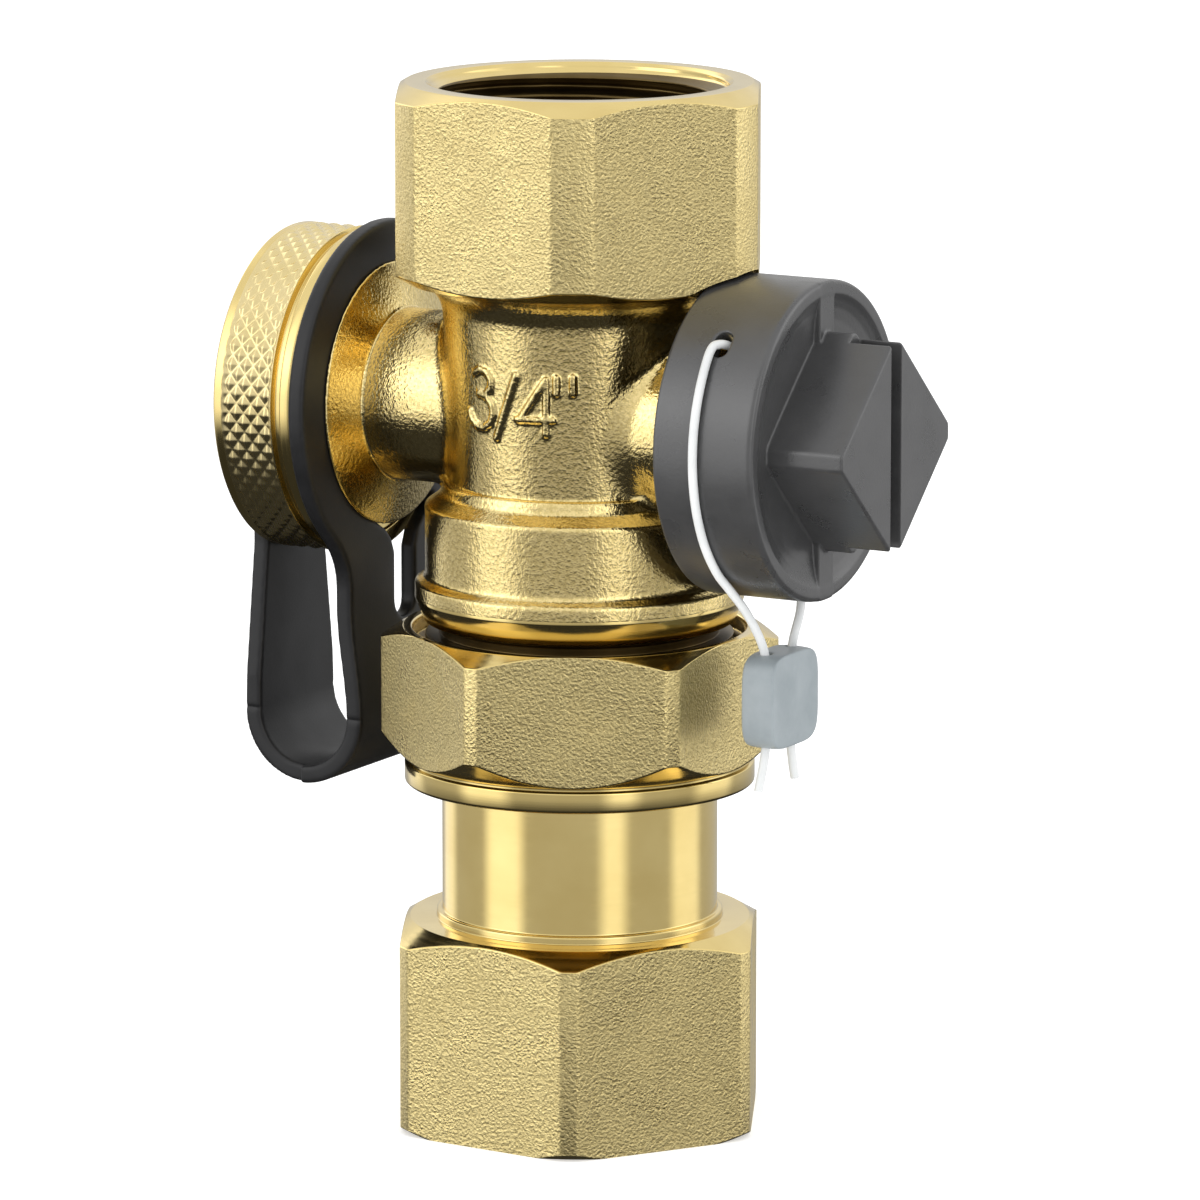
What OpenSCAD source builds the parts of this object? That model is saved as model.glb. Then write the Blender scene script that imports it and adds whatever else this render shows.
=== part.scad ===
// Sealable service valve for an expansion vessel: ball valve, capped drain and union tail.
// Z runs up the pipe axis, X along the stem towards the knob. The origin is the centre of
// the lower socket's end face. Screw threads are plain cylinders at their crest radius.

/* [Pipe sockets] */
// Height from the lower socket's end to the upper socket's end
total_h = 94.3; // [93.5:0.1:94.5]
// Crest radius of the G 3/4 thread in both sockets
socket_r = 12.06; // [12:0.01:12.2]
// Depth of both sockets
socket_depth = 14.5; // [12:0.5:14.5]
// Across-flats size of the upper hexagon
upper_af = 32; // [31.5:0.1:33]
// Radius to which the upper hexagon's corners are turned
upper_corner_r = 17.5; // [17.2:0.1:18.4]
// Height of the upper hexagon
upper_hex_h = 17.7; // [17.3:0.1:18]
// Turn of the upper hexagon about the pipe axis, in degrees
upper_turn = -3; // [-30:1:30]

/* [Valve body] */
// Height of the stem axis and ball centre
stem_z = 63.9; // [63.5:0.1:64]
// Height of the drain branch's axis
drain_z = 64.8; // [63.8:0.1:65]
// Outer radius of the barrel round the ball
barrel_r = 12.1; // [12.1:0.1:12.6]
// Outer radius of the band below the barrel
band_r = 13.87; // [13.5:0.01:14.2]
// Outer radius of the ridge below the band
ridge_r = 14.79; // [14.5:0.01:14.9]
// Outer radius of the two side necks
neck_r = 8.3; // [8:0.1:8.6]
// Crest radius of the M28 thread that the union nut screws onto
union_thread_r = 13.9; // [13.8:0.05:13.9]

/* [Ball and seats] */
// Radius of the ball
ball_r = 9; // [9:0.05:9.1]
// Radius of the waterway through the ball
port_r = 6; // [5:0.1:6.2]
// Radius of the ball's side port and axial port, used for draining
drain_port_r = 3.5; // [2.5:0.1:3.6]
// Radius of the stem's shaft
stem_r = 3.5; // [3.4:0.05:3.55]

/* [Knob] */
// Outer radius of the knob's skirt
knob_r = 14.25; // [14:0.01:14.4]
// X of the skirt's open end
knob_back_x = 15.13; // [15:0.01:15.5]
// X of the knob's face
knob_face_x = 24.9; // [24.5:0.1:25.2]
// X of the diamond grip's end
grip_end_x = 31.75; // [30:0.05:33]
// Half width of the diamond grip along Y
grip_half_y = 10.3; // [9:0.1:10.5]
// Half height of the diamond grip along Z
grip_half_z = 9.75; // [9:0.05:10]
// Width of the slot across the grip's end
grip_slot_w = 1.9; // [1:0.1:2.5]

/* [Drain] */
// Outer radius of the drain cap
cap_r = 14.8; // [14.5:0.1:15]
// Crest radius of the drain's G 3/4 thread
spigot_r = 13.05; // [12.9:0.05:13.1]
// Travel of the cap as it unscrews
cap_travel = 7.25; // [6:0.05:7.5]
// Thickness of the rubber strap
strap_t = 1.6; // [1.4:0.1:1.6]
// Radius of the strap's collar
collar_r = 15.7; // [15:0.1:16]

/* [Union] */
// Across-flats size of the union nut
nut_af = 31.64; // [31.5:0.01:32.2]
// Radius to which the nut's corners are turned
nut_corner_r = 17.87; // [17.5:0.01:18]
// Turn of the nut about the pipe axis, in degrees
nut_turn = 26.5; // [-30:0.5:30]
// Outer radius of the tail's tube
tube_r = 12.41; // [12.3:0.01:12.45]
// Across-flats size of the lower hexagon
lower_af = 31.46; // [31.2:0.01:32.5]
// Radius to which the lower hexagon's corners are turned
lower_corner_r = 17.72; // [17.4:0.01:18]
// Height of the lower hexagon
lower_hex_h = 18.6; // [18:0.1:18.8]
// Turn of the lower hexagon about the pipe axis, in degrees
lower_turn = -4; // [-30:1:30]

/* [Seal] */
// Diameter of the sealing wire
wire_d = 0.8; // [0.6:0.1:0.8]
// Diameter of the crimped seal
seal_d = 9.1; // [8:0.1:9.4]
// Thickness of the crimped seal
seal_t = 3.2; // [2.6:0.1:3.4]

/* [Hidden] */
$fn = 96;
eps = 0.01;
tan30 = tan(30);

brass_cast = [0.72, 0.60, 0.34];
brass_bright = [0.83, 0.70, 0.40];
ptfe_white = [0.93, 0.93, 0.90];
rubber_black = [0.08, 0.08, 0.08];
plastic_grey = [0.22, 0.22, 0.23];
steel_grey = [0.62, 0.64, 0.66];

// Upper socket
upper_hex_z = total_h - upper_hex_h;
mouth_r = 13.7;
mouth_h = 1.3;
// Heights along the body, downwards from the barrel
band_top = 56.3;
band_bottom = 49.9;
ridge_bottom = 47.9;
neck_undercut_r = 12.5;
neck_undercut_z = 45.4;
neck_cone_r = 14;
neck_cone_z = 45.9;
union_thread_top = 44.6;
body_end = 36.3;
// Ball chamber and what it holds
chamber_r = 9.35;
seat_reach = 9.7;
seat_in_r = 6.6;
seat_t = 4;
flow_r = 6.6;
retainer_r = 9.8;
retainer_h = 5;
chamber_fit = 0.05;
// Stem boss on the knob side
boss_end_x = 17.3;
stem_pocket_r = 5.3;
stem_pocket_x = 11.2;
stem_bore_r = stem_r + 0.1;
o_ring_t = 1.06;
o_ring_x = [12.7, 14.9];
stem_clip_x = 18.05;
square_x = 18.8;
square_w = 5;
square_end_x = 23.4;
hub_r = 5.4;
// Knob
knob_cavity_r = 12.6;
knob_floor_x = 22.4;
wire_slot_x = 19.95;
wire_slot_w = 2.3;
wire_slot_l = 3.2;
wire_slot_angle = 137;
wire_hole_angle = 279;
// Drain branch
drain_neck_r = 7.8;
flange_face_x = -18;
flange_edge_x = -19.2;
flange_r = 12;
collar_x = -19.45;
spigot_neck_r = 11.2;
spigot_thread_x = collar_x - strap_t - 0.1;
spigot_end_x = -27;
drain_bore_r = 5.55;
drain_seat_x = -6.9;
drain_seat_t = 3.2;
drain_seat_in_r = 4;
// Cap and the rivet that holds the strap's outer end
cap_in_x = -21.35;
cap_out_x = -29.5;
cap_bore_r = 13.2;
cap_floor_x = -27.95;
cap_gasket_t = 0.85;
rivet_r = 1.9;
strap_eye_x = cap_out_x - 0.1;
loop_out_x = strap_eye_x - strap_t;
loop_in_x = -18.5;
loop_r = (loop_in_x - loop_out_x) / 2;
loop_x = (loop_in_x + loop_out_x) / 2;
loop_z = 29.4 + loop_r;
leg_half_w = 7.5;
eye_half_w = 5.1;
// Union
nut_bottom = 31.1;
nut_top = 45.2;
nut_bore_r = union_thread_r + 0.1;
nut_collar_r = 15.77;
nut_collar_h = 2.2;
nut_lip_h = 2.5;
snap_z = 34.3;
snap_t = 1.1;
snap_r = 12.68;
tube_top = 35.2;
tube_bore_r = 9.5;
// Crimped seal, hanging below the knob
seal_pos = [21.4, -2, 41];
wire_hole_y = [-4.2, 0.2];
// The sealing wire's route: tail, seal, up round the skirt, in at the slot, behind the
// skirt, out below, seal again and the second tail
function round_stem(x, r, a) = [x, r * cos(a), stem_z + r * sin(a)];
wire_up = [[20.8, -4.9, 32.9], [21.1, -4.3, 36], [21.2, -4.2, 38.5], [21.2, -4.2, 41],
    [21.2, -4.2, 43.5], [21, -4.6, 46], [20.2, -6, 49], [19.6, -8.1, 51.4]];
wire_round = [for (a = [226:-14:142]) round_stem(19.4, knob_r + 0.47, a)];
wire_in = [round_stem(19.7, 14.3, 137.5), round_stem(20.3, 13.1, 135), round_stem(21, 11.8, 137),
    round_stem(21.5, 10.7, 144), for (a = [156:16:236]) round_stem(21.5, 10.2, a),
    round_stem(21.4, 10.6, 252), round_stem(21.3, 11.6, 268)];
wire_down = [[21.3, 1.7, 51.6], [21.4, 1.95, 50.4], [21.6, 1.4, 48.2], [21.4, 0.5, 45.8],
    [21.2, 0.2, 43.5], [21.2, 0.2, 41], [21.2, 0.2, 38.5], [21.3, 0.3, 36], [21.5, 0.7, 33.2]];
wire_route = concat(wire_up, wire_round, wire_in, wire_down);
wire_steps = 2;

// Puts a child that stands along +Z onto the stem axis, pointing along +X
module along_stem() { translate([0, 0, stem_z]) rotate([0, 90, 0]) children(); }

// Puts a child that stands along +Z onto the drain axis, pointing along -X
module along_drain() { translate([0, 0, drain_z]) rotate([0, -90, 0]) children(); }

// A disc or bored disc on a side axis, from x0 to x1 measured outwards
module ring_at(x0, x1, r_out, r_in = 0) {
    translate([0, 0, min(x0, x1)]) difference() {
        cylinder(r = r_out, h = abs(x1 - x0));
        if (r_in > 0) translate([0, 0, -1]) cylinder(r = r_in, h = abs(x1 - x0) + 2);
    }
}

// Hexagonal prism with a corner on +X
module hex_prism(af, h) { cylinder(r = af / sqrt(3), h = h, $fn = 6); }

// Turned blank that trims a hexagon's corners: corner radius r, height h and the end
// faces' radii, with end chamfers at 30 degrees
module hex_blank(r, h, face_low, face_high) {
    low = (r - face_low) * tan30;
    high = (r - face_high) * tan30;
    rotate_extrude()
        polygon([[0, 0], [face_low, 0], [r, low], [r, h - high], [face_high, h], [0, h]]);
}

module turned_hex(af, r, h, face_low, face_high, turn) {
    intersection() {
        rotate(turn) hex_prism(af, h);
        hex_blank(r, h, face_low, face_high);
    }
}

// Female socket cut: threaded bore from its mouth at z = 0 down to -depth, with an optional
// mouth chamfer
module socket_cut(depth, chamfer) {
    translate([0, 0, -depth]) cylinder(r = socket_r, h = depth + 1);
    if (chamfer) translate([0, 0, -mouth_h]) cylinder(r1 = socket_r, r2 = mouth_r, h = mouth_h);
}

// Outer skin of the barrel, from the union thread up to the hexagon
module barrel_skin() {
    rotate_extrude() difference() {
        polygon([[0, body_end], [union_thread_r - 0.6, body_end], [union_thread_r, body_end + 0.6],
            [union_thread_r, union_thread_top], [neck_undercut_r, union_thread_top],
            [neck_undercut_r, neck_undercut_z],
            [neck_cone_r, neck_cone_z], [ridge_r, ridge_bottom], [ridge_r, band_bottom - 0.4],
            [band_r, band_bottom], [band_r, band_top], [barrel_r, band_top + 1.9],
            [barrel_r, upper_hex_z - 3], [barrel_r + 3, upper_hex_z - 3],
            [barrel_r + 3, upper_hex_z + 1], [0, upper_hex_z + 1]]);
        translate([barrel_r + 3, upper_hex_z - 3]) circle(r = 3);
    }
}

module valve_body() {
    color(brass_cast) difference() {
        union() {
            barrel_skin();
            translate([0, 0, upper_hex_z])
                turned_hex(upper_af, upper_corner_r, upper_hex_h, 15.6, 15.5, upper_turn);
            along_stem() cylinder(r = neck_r, h = boss_end_x);
            along_drain() {
                cylinder(r = drain_neck_r, h = -flange_face_x + 0.5);
                translate([0, 0, -flange_face_x])
                    cylinder(r1 = drain_neck_r, r2 = flange_r, h = flange_face_x - flange_edge_x);
                ring_at(-flange_edge_x, -collar_x - 0.05, flange_r);
                cylinder(r = spigot_neck_r, h = -spigot_thread_x);
                ring_at(-spigot_thread_x, -spigot_end_x - 0.6, spigot_r);
                translate([0, 0, -spigot_end_x - 0.6])
                    cylinder(r1 = spigot_r, r2 = spigot_r - 0.6, h = 0.6);
            }
        }
        translate([0, 0, total_h]) socket_cut(socket_depth, true);
        translate([0, 0, stem_z]) cylinder(r = flow_r, h = total_h);
        translate([0, 0, body_end - 1])
            cylinder(r = retainer_r + chamber_fit, h = stem_z - seat_reach - body_end + 1);
        translate([0, 0, body_end]) cylinder(r = chamber_r, h = stem_z + seat_reach - body_end);
        along_stem() {
            cylinder(r = stem_pocket_r, h = stem_pocket_x);
            cylinder(r = stem_bore_r, h = boss_end_x + 1);
        }
        translate([0, 0, stem_z]) rotate([0, -90, 0]) cylinder(r = drain_bore_r, h = 30);
        along_stem() ring_at(knob_back_x - 0.4, knob_back_x + 10, knob_r + 0.4, neck_r + 2);
    }
}

module ball() {
    color(steel_grey) translate([0, 0, stem_z]) difference() {
        sphere(r = ball_r);
        cylinder(r = port_r, h = 30, center = true);
        rotate([90, 0, 0]) cylinder(r = drain_port_r, h = 15);
        rotate([0, -90, 0]) cylinder(r = drain_port_r, h = 15);
        translate([7.1, -1.25, -10]) cube([5, 2.5, 20]);
    }
}

// Seat ring above (side = 1) or below (side = -1) the ball
module seat_ring(side) {
    color(ptfe_white) translate([0, 0, stem_z]) difference() {
        translate([0, 0, side > 0 ? seat_reach - seat_t - 0.03 : -seat_reach])
            cylinder(r = chamber_r - 0.1, h = seat_t);
        cylinder(r = seat_in_r, h = 40, center = true);
        sphere(r = ball_r + 0.04);
    }
}

module seat_ring_upper() { seat_ring(1); }

module seat_ring_lower() { seat_ring(-1); }

module seat_retainer() {
    color(brass_bright) translate([0, 0, stem_z - seat_reach - 0.05 - retainer_h]) difference() {
        cylinder(r = retainer_r, h = retainer_h);
        translate([0, 0, -1]) cylinder(r = flow_r, h = retainer_h + 2);
        for (a = [0, 90]) rotate(a) translate([-15, -1, -1]) cube([30, 2, 2.2]);
    }
}

module drain_seat_ring() {
    color(ptfe_white) translate([0, 0, stem_z]) difference() {
        rotate([0, -90, 0])
            ring_at(-drain_seat_x, -drain_seat_x + drain_seat_t, drain_bore_r - 0.05, drain_seat_in_r);
        sphere(r = ball_r + 0.04);
    }
}

module drain_seat_retainer() {
    back = -drain_seat_x + drain_seat_t + 0.05;
    color(brass_bright) translate([0, 0, stem_z]) rotate([0, -90, 0]) difference() {
        ring_at(back, back + 3, drain_bore_r - 0.05, drain_seat_in_r);
        translate([-8, -0.8, back + 1.8]) cube([16, 1.6, 2]);
    }
}

module stem() {
    color(brass_bright) along_stem() difference() {
        union() {
            translate([-2.9, -1.15, 7.3]) cube([5.8, 2.3, 3]);
            ring_at(9.5, 10.7, 5.1);
            cylinder_between(10.6, square_x, stem_r);
            translate([-square_w / 2, -square_w / 2, square_x - 0.1])
                cube([square_w, square_w, square_end_x - square_x + 0.1]);
        }
        for (x = o_ring_x) ring_at(x - 0.7, x + 0.7, stem_r + 1, stem_r - 1);
        ring_at(stem_clip_x, stem_clip_x + 0.6, stem_r + 1, stem_r - 0.6);
    }
}

module cylinder_between(x0, x1, r) { translate([0, 0, x0]) cylinder(r = r, h = x1 - x0); }

module stem_thrust_washer() {
    color(ptfe_white) along_stem() ring_at(10.75, 11.15, 5.1, stem_r + 0.1);
}

module stem_o_ring(x) {
    color(rubber_black) along_stem() translate([0, 0, x])
        rotate_extrude() translate([stem_r - 1 + o_ring_t / 2 + 0.01, 0]) circle(d = o_ring_t);
}

module stem_o_ring_inner() { stem_o_ring(o_ring_x[0]); }

module stem_o_ring_outer() { stem_o_ring(o_ring_x[1]); }

module stem_washer() {
    color(steel_grey) along_stem() ring_at(boss_end_x + 0.1, stem_clip_x - 0.05, 6, stem_r + 0.1);
}

module stem_clip() {
    color(steel_grey) along_stem() difference() {
        ring_at(stem_clip_x + 0.02, stem_clip_x + 0.55, 5, stem_r - 0.55);
        translate([-1.6, 0, stem_clip_x - 1]) cube([3.2, 8, 3]);
    }
}

// The knob's skirt and face, turned about the stem axis
module knob_shell() {
    rim = 1.4;
    rotate_extrude() difference() {
        polygon([[0, knob_back_x], [knob_r, knob_back_x], [knob_r, knob_face_x - rim],
            [knob_r - rim * 0.3, knob_face_x - rim * 0.3], [knob_r - rim, knob_face_x],
            [0, knob_face_x]]);
        translate([-1, knob_back_x - 1]) square([knob_cavity_r + 1, knob_floor_x - knob_back_x + 1]);
    }
}

// Diamond grip with blunt side corners
module grip_outline() {
    blunt = 1.04;
    polygon([[0.4, -grip_half_z], [grip_half_y, -blunt], [grip_half_y, blunt], [0.4, grip_half_z],
        [-0.4, grip_half_z], [-grip_half_y, blunt], [-grip_half_y, -blunt], [-0.4, -grip_half_z]]);
}

module operating_knob() {
    color(plastic_grey) difference() {
        union() {
            along_stem() knob_shell();
            along_stem() cylinder_between(square_x + 0.1, knob_floor_x + 0.5, hub_r);
            translate([0, 0, stem_z]) rotate([90, 0, 90])
                translate([0, -0.1, knob_face_x - 1])
                    linear_extrude(grip_end_x - knob_face_x + 1) grip_outline();
        }
        translate([grip_end_x - 4.5, -grip_slot_w / 2, stem_z - 12]) cube([6, grip_slot_w, 24]);
        along_stem() translate([-square_w / 2 - 0.03, -square_w / 2 - 0.03, 18])
            cube([square_w + 0.06, square_w + 0.06, square_end_x - 18 + 0.1]);
        translate([wire_slot_x, 0, stem_z]) rotate([wire_slot_angle, 0, 0])
            translate([-wire_slot_w / 2, 8, -wire_slot_l / 2]) cube([wire_slot_w, 10, wire_slot_l]);
        translate([21.3, 0, stem_z]) rotate([wire_hole_angle, 0, 0]) rotate([-90, 0, 0])
            cylinder_between(8, 18, 0.95);
    }
}

// Points along a smooth curve through the route
function spline_point(p0, p1, p2, p3, t) = 0.5 * (2 * p1 + (p2 - p0) * t
    + (2 * p0 - 5 * p1 + 4 * p2 - p3) * t * t + (3 * p1 - p0 - 3 * p2 + p3) * t * t * t);
function route_at(r, i) = r[max(0, min(len(r) - 1, i))];
function smooth_route(r, n) = [for (i = [0:len(r) - 2], j = [0:n - 1])
    spline_point(route_at(r, i - 1), r[i], r[i + 1], route_at(r, i + 2), j / n), r[len(r) - 1]];
function unit(v) = v / norm(v);
function ring_points(c, t, r, n) = let (u = unit(cross(t, [1, 0, 0])), v = cross(t, u))
    [for (k = [0:n - 1]) c + r * (cos(360 * k / n) * u + sin(360 * k / n) * v)];

// Round tube swept along a list of points
module tube_along(path, d, n) {
    m = len(path);
    rings = [for (i = [0:m - 1])
        ring_points(path[i], unit(path[min(m - 1, i + 1)] - path[max(0, i - 1)]), d / 2, n)];
    points = [for (ring = rings, p = ring) p];
    sides = [for (i = [0:m - 2], k = [0:n - 1])
        [i * n + k, i * n + (k + 1) % n, (i + 1) * n + (k + 1) % n, (i + 1) * n + k]];
    low_end = [for (k = [n - 1:-1:0]) k];
    high_end = [for (k = [0:n - 1]) (m - 1) * n + k];
    polyhedron(points, concat(sides, [low_end, high_end]), convexity = 10);
}

module seal_wire() { color("white") tube_along(smooth_route(wire_route, wire_steps), wire_d, 8); }

module wire_seal() {
    color(steel_grey) translate(seal_pos) difference() {
        intersection() {
            rotate([0, 90, 0]) cylinder(d = seal_d, h = seal_t, center = true);
            cube([seal_t, seal_d, seal_d - 0.5], center = true);
        }
        for (y = wire_hole_y) translate([21.2 - seal_pos[0], y - seal_pos[1], 0])
            cylinder(d = wire_d + 0.06, h = 20, center = true);
    }
}

module drain_cap() {
    color(brass_bright) along_drain() difference() {
        union() {
            ring_at(-cap_in_x, 22.5, cap_r);
            ring_at(22.4, 23.4, cap_r - 0.6);
            ring_at(23.3, 28.5, cap_r);
            ring_at(28.4, -cap_out_x - 0.3, cap_r - 0.05);
            translate([0, 0, -cap_out_x - 0.3]) cylinder(r1 = cap_r - 0.05, r2 = cap_r - 0.35, h = 0.3);
        }
        cylinder_between(0, -cap_floor_x, cap_bore_r);
        cylinder_between(0, 40, rivet_r + 0.05);
    }
}

module cap_gasket() {
    color(rubber_black) along_drain()
        ring_at(-cap_floor_x - cap_gasket_t, -cap_floor_x, cap_bore_r - 0.2, 4);
}

// The strap seen from the side: collar leg, loop and outer leg
module strap_side() {
    collar_out = collar_x - strap_t;
    difference() {
        translate([loop_x, loop_z]) circle(r = loop_r);
        translate([loop_x, loop_z]) circle(r = loop_r - strap_t);
        translate([loop_x - 10, loop_z]) square([20, 10]);
    }
    translate([loop_out_x, loop_z]) square([strap_t, 45]);
    polygon([[loop_in_x - strap_t, loop_z], [loop_in_x, loop_z], [collar_x, 46], [collar_x, 90],
        [collar_out, 90], [collar_out, 46]]);
}

// The strap seen along the drain axis: collar half or outer half
module collar_outline() {
    slit_w = 0.8;
    lip_z = -spigot_neck_r - 3.1;
    difference() {
        union() {
            circle(r = collar_r);
            translate([-leg_half_w, -40]) square([2 * leg_half_w, 40]);
            polygon([[-leg_half_w, -17], [leg_half_w, -17], [10.5, -11.5], [-10.5, -11.5]]);
        }
        circle(r = spigot_neck_r + 0.15);
        translate([-slit_w / 2, -21.6]) square([slit_w, 21]);
        translate([0, -21.6]) circle(r = 0.8);
        polygon([[-slit_w / 2, lip_z], [slit_w / 2, lip_z], [1.4, lip_z + 1.4], [3.6, -10.4],
            [-3.6, -10.4], [-1.4, lip_z + 1.4]]);
    }
}

module eye_outline() {
    difference() {
        union() {
            circle(r = 7.2);
            polygon([[-eye_half_w, 0], [eye_half_w, 0], [eye_half_w, -14], [6.6, -28],
                [6.9, -40], [-6.9, -40], [-6.6, -28], [-eye_half_w, -14]]);
        }
        circle(r = rivet_r + 0.05);
    }
}

module strap_half(low_x, high_x, side) {
    intersection() {
        rotate([90, 0, 0]) linear_extrude(40, center = true) strap_side();
        translate([low_x, 0, drain_z]) rotate([90, 0, 90]) linear_extrude(high_x - low_x)
            if (side > 0) collar_outline(); else eye_outline();
    }
}

module retaining_strap() {
    color(rubber_black) {
        strap_half(loop_x, 0, 1);
        strap_half(-40, loop_x, -1);
    }
}

module strap_rivet() {
    color(steel_grey) along_drain() {
        cylinder_between(-cap_floor_x - cap_gasket_t, -cap_floor_x - 0.05, 3.4);
        cylinder_between(-cap_floor_x - 0.3, -loop_out_x + 0.6, rivet_r);
        cylinder_between(-loop_out_x + 0.5, -loop_out_x + 1.4, 3.4);
    }
}

module strap_washer() {
    color(steel_grey) along_drain()
        ring_at(-loop_out_x + 0.03, -loop_out_x + 0.47, 4.2, rivet_r + 0.02);
}

module union_nut() {
    hex_low = nut_bottom + nut_collar_h;
    recess_r = 15.03;
    color(brass_bright) difference() {
        union() {
            translate([0, 0, nut_bottom]) cylinder(r = nut_collar_r, h = nut_collar_h + 0.1);
            intersection() {
                translate([0, 0, hex_low]) rotate(nut_turn) hex_prism(nut_af, nut_top - hex_low);
                translate([0, 0, hex_low]) {
                    cylinder(r1 = nut_collar_r, r2 = nut_corner_r, h = nut_corner_r - nut_collar_r);
                    translate([0, 0, nut_corner_r - nut_collar_r])
                        hex_blank(nut_corner_r, nut_top - hex_low - nut_corner_r + nut_collar_r,
                            nut_corner_r, 15.9);
                }
            }
        }
        translate([0, 0, nut_bottom - 1]) cylinder(r = tube_r + 0.1, h = 20);
        translate([0, 0, nut_bottom + nut_lip_h]) cylinder(r = nut_bore_r, h = 20);
        translate([0, 0, nut_top - 1.5]) cylinder(r = recess_r, h = 5);
    }
}

module union_snap_ring() {
    color(steel_grey) translate([0, 0, snap_z]) difference() {
        rotate_extrude() translate([snap_r, 0]) circle(d = snap_t);
        translate([0, -0.8, -2]) cube([20, 1.6, 4]);
    }
}

module union_gasket() {
    color(rubber_black) translate([0, 0, tube_top + 0.03]) difference() {
        cylinder(r = 12.9, h = body_end - tube_top - 0.06);
        translate([0, 0, -1]) cylinder(r = retainer_r, h = 5);
    }
}

module union_tailpiece() {
    color(brass_bright) difference() {
        union() {
            turned_hex(lower_af, lower_corner_r, lower_hex_h, 16.8, 15.3, lower_turn);
            translate([0, 0, lower_hex_h - 1]) cylinder(r = tube_r + 0.5, h = 1.7);
            translate([0, 0, lower_hex_h]) cylinder(r = tube_r, h = tube_top - lower_hex_h);
        }
        mirror([0, 0, 1]) socket_cut(socket_depth, false);
        translate([0, 0, 1]) cylinder(r = tube_bore_r, h = tube_top);
        translate([0, 0, snap_z - 0.65]) difference() {
            cylinder(r = tube_r + 1, h = 1.3);
            cylinder(r = snap_r - snap_t / 2 - 0.1, h = 1.3);
        }
    }
}

valve_body();
ball();
seat_ring_upper();
seat_ring_lower();
seat_retainer();
drain_seat_ring();
drain_seat_retainer();
stem();
stem_thrust_washer();
stem_o_ring_inner();
stem_o_ring_outer();
stem_washer();
stem_clip();
operating_knob();
seal_wire();
wire_seal();
drain_cap();
cap_gasket();
retaining_strap();
strap_rivet();
strap_washer();
union_nut();
union_snap_ring();
union_gasket();
union_tailpiece();
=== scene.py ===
import math

import bpy
import numpy as np
import openvdb
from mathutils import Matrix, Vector


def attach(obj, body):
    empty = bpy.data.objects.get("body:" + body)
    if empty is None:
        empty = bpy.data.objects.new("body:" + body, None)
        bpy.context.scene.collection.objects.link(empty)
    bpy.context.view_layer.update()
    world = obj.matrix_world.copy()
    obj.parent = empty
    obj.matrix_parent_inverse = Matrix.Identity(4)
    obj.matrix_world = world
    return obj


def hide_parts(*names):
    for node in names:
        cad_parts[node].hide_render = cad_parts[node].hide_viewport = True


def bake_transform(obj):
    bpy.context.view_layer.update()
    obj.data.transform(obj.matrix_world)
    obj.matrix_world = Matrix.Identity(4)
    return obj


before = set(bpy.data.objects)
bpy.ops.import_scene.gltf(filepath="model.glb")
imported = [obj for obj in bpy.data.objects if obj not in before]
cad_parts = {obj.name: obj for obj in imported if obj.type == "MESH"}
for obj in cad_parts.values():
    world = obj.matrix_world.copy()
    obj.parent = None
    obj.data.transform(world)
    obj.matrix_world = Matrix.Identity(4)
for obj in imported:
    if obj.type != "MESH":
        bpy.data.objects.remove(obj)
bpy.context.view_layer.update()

MM = 0.001

# ---------------------------------------------------------------- sizes, in mm, as in the CAD
STEM_Z = 63.9
DRAIN_Z = 64.8
TOTAL_H = 94.3
SOCKET_R = 12.06
SOCKET_DEPTH = 14.5
MOUTH_R, MOUTH_H = 13.7, 1.3
G_DEPTH, G_PITCH = 1.16, 1.814
M_DEPTH, M_PITCH = 0.85, 1.5
UPPER_AF, UPPER_CORNER, UPPER_HEX_Z, UPPER_TURN = 32.0, 17.5, 76.6, -3.0
BARREL_R, BAND_R, RIDGE_R = 12.1, 13.87, 14.79
BAND_TOP, RIDGE_BOTTOM = 56.3, 47.9
UNION_THREAD_R, UNION_THREAD_TOP, BODY_END = 13.9, 44.6, 36.3
CHAMBER_R, RETAINER_R, FLOW_R = 9.35, 9.85, 6.6
CHAMBER_BOTTOM, CHAMBER_TOP = 54.15, 73.5
NECK_R, NECK_END = 8.3, 17.3
STEM_BORE_R, STEM_POCKET_R, STEM_POCKET_END = 3.6, 5.3, 11.2
DRAIN_NECK_R, DRAIN_BORE_R = 7.8, 5.55
FLANGE_R, FLANGE_FACE, FLANGE_EDGE, FLANGE_END = 12.0, 18.0, 19.2, 19.42
SPIGOT_R, SPIGOT_NECK_R, SPIGOT_START, SPIGOT_END = 13.05, 11.2, 21.15, 27.0
NUT_AF, NUT_CORNER, NUT_TURN, NUT_BOTTOM, NUT_TOP = 31.64, 17.87, 26.5, 31.1, 45.2
LOWER_AF, LOWER_CORNER, LOWER_TURN, LOWER_HEX_H = 31.46, 17.72, -4.0, 18.6
TUBE_R, TUBE_TOP, TUBE_BORE_R = 12.41, 35.2, 9.5
KNOB_R, KNOB_BACK, KNOB_FACE, GRIP_END = 14.25, 15.13, 24.9, 31.75
SCOOP_X, SCOOP_R, SCOOP_INNER_R = KNOB_BACK - 0.4, KNOB_R + 0.4, 10.3
KNOB_PLATE_BACK, KNOB_RIM_R, KNOB_DISH = 22.4, 12.6, 0.72
KNOB_HUB_R, KNOB_HUB_BACK, KNOB_SQUARE, KNOB_SQUARE_END = 5.4, 18.9, 2.53, 23.5
RIB_HALF = 1.35
GRIP_CORNER_Y, GRIP_CORNER_Z, GRIP_HALF_Y, GRIP_HALF_Z = 11.1, 10.1, 10.3, 9.75
GRIP_SLOT_HALF, GRIP_SLOT_FLOOR = 0.97, 27.6
CAP_R, CAP_IN, CAP_OUT = 14.8, 21.35, 29.5
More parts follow.
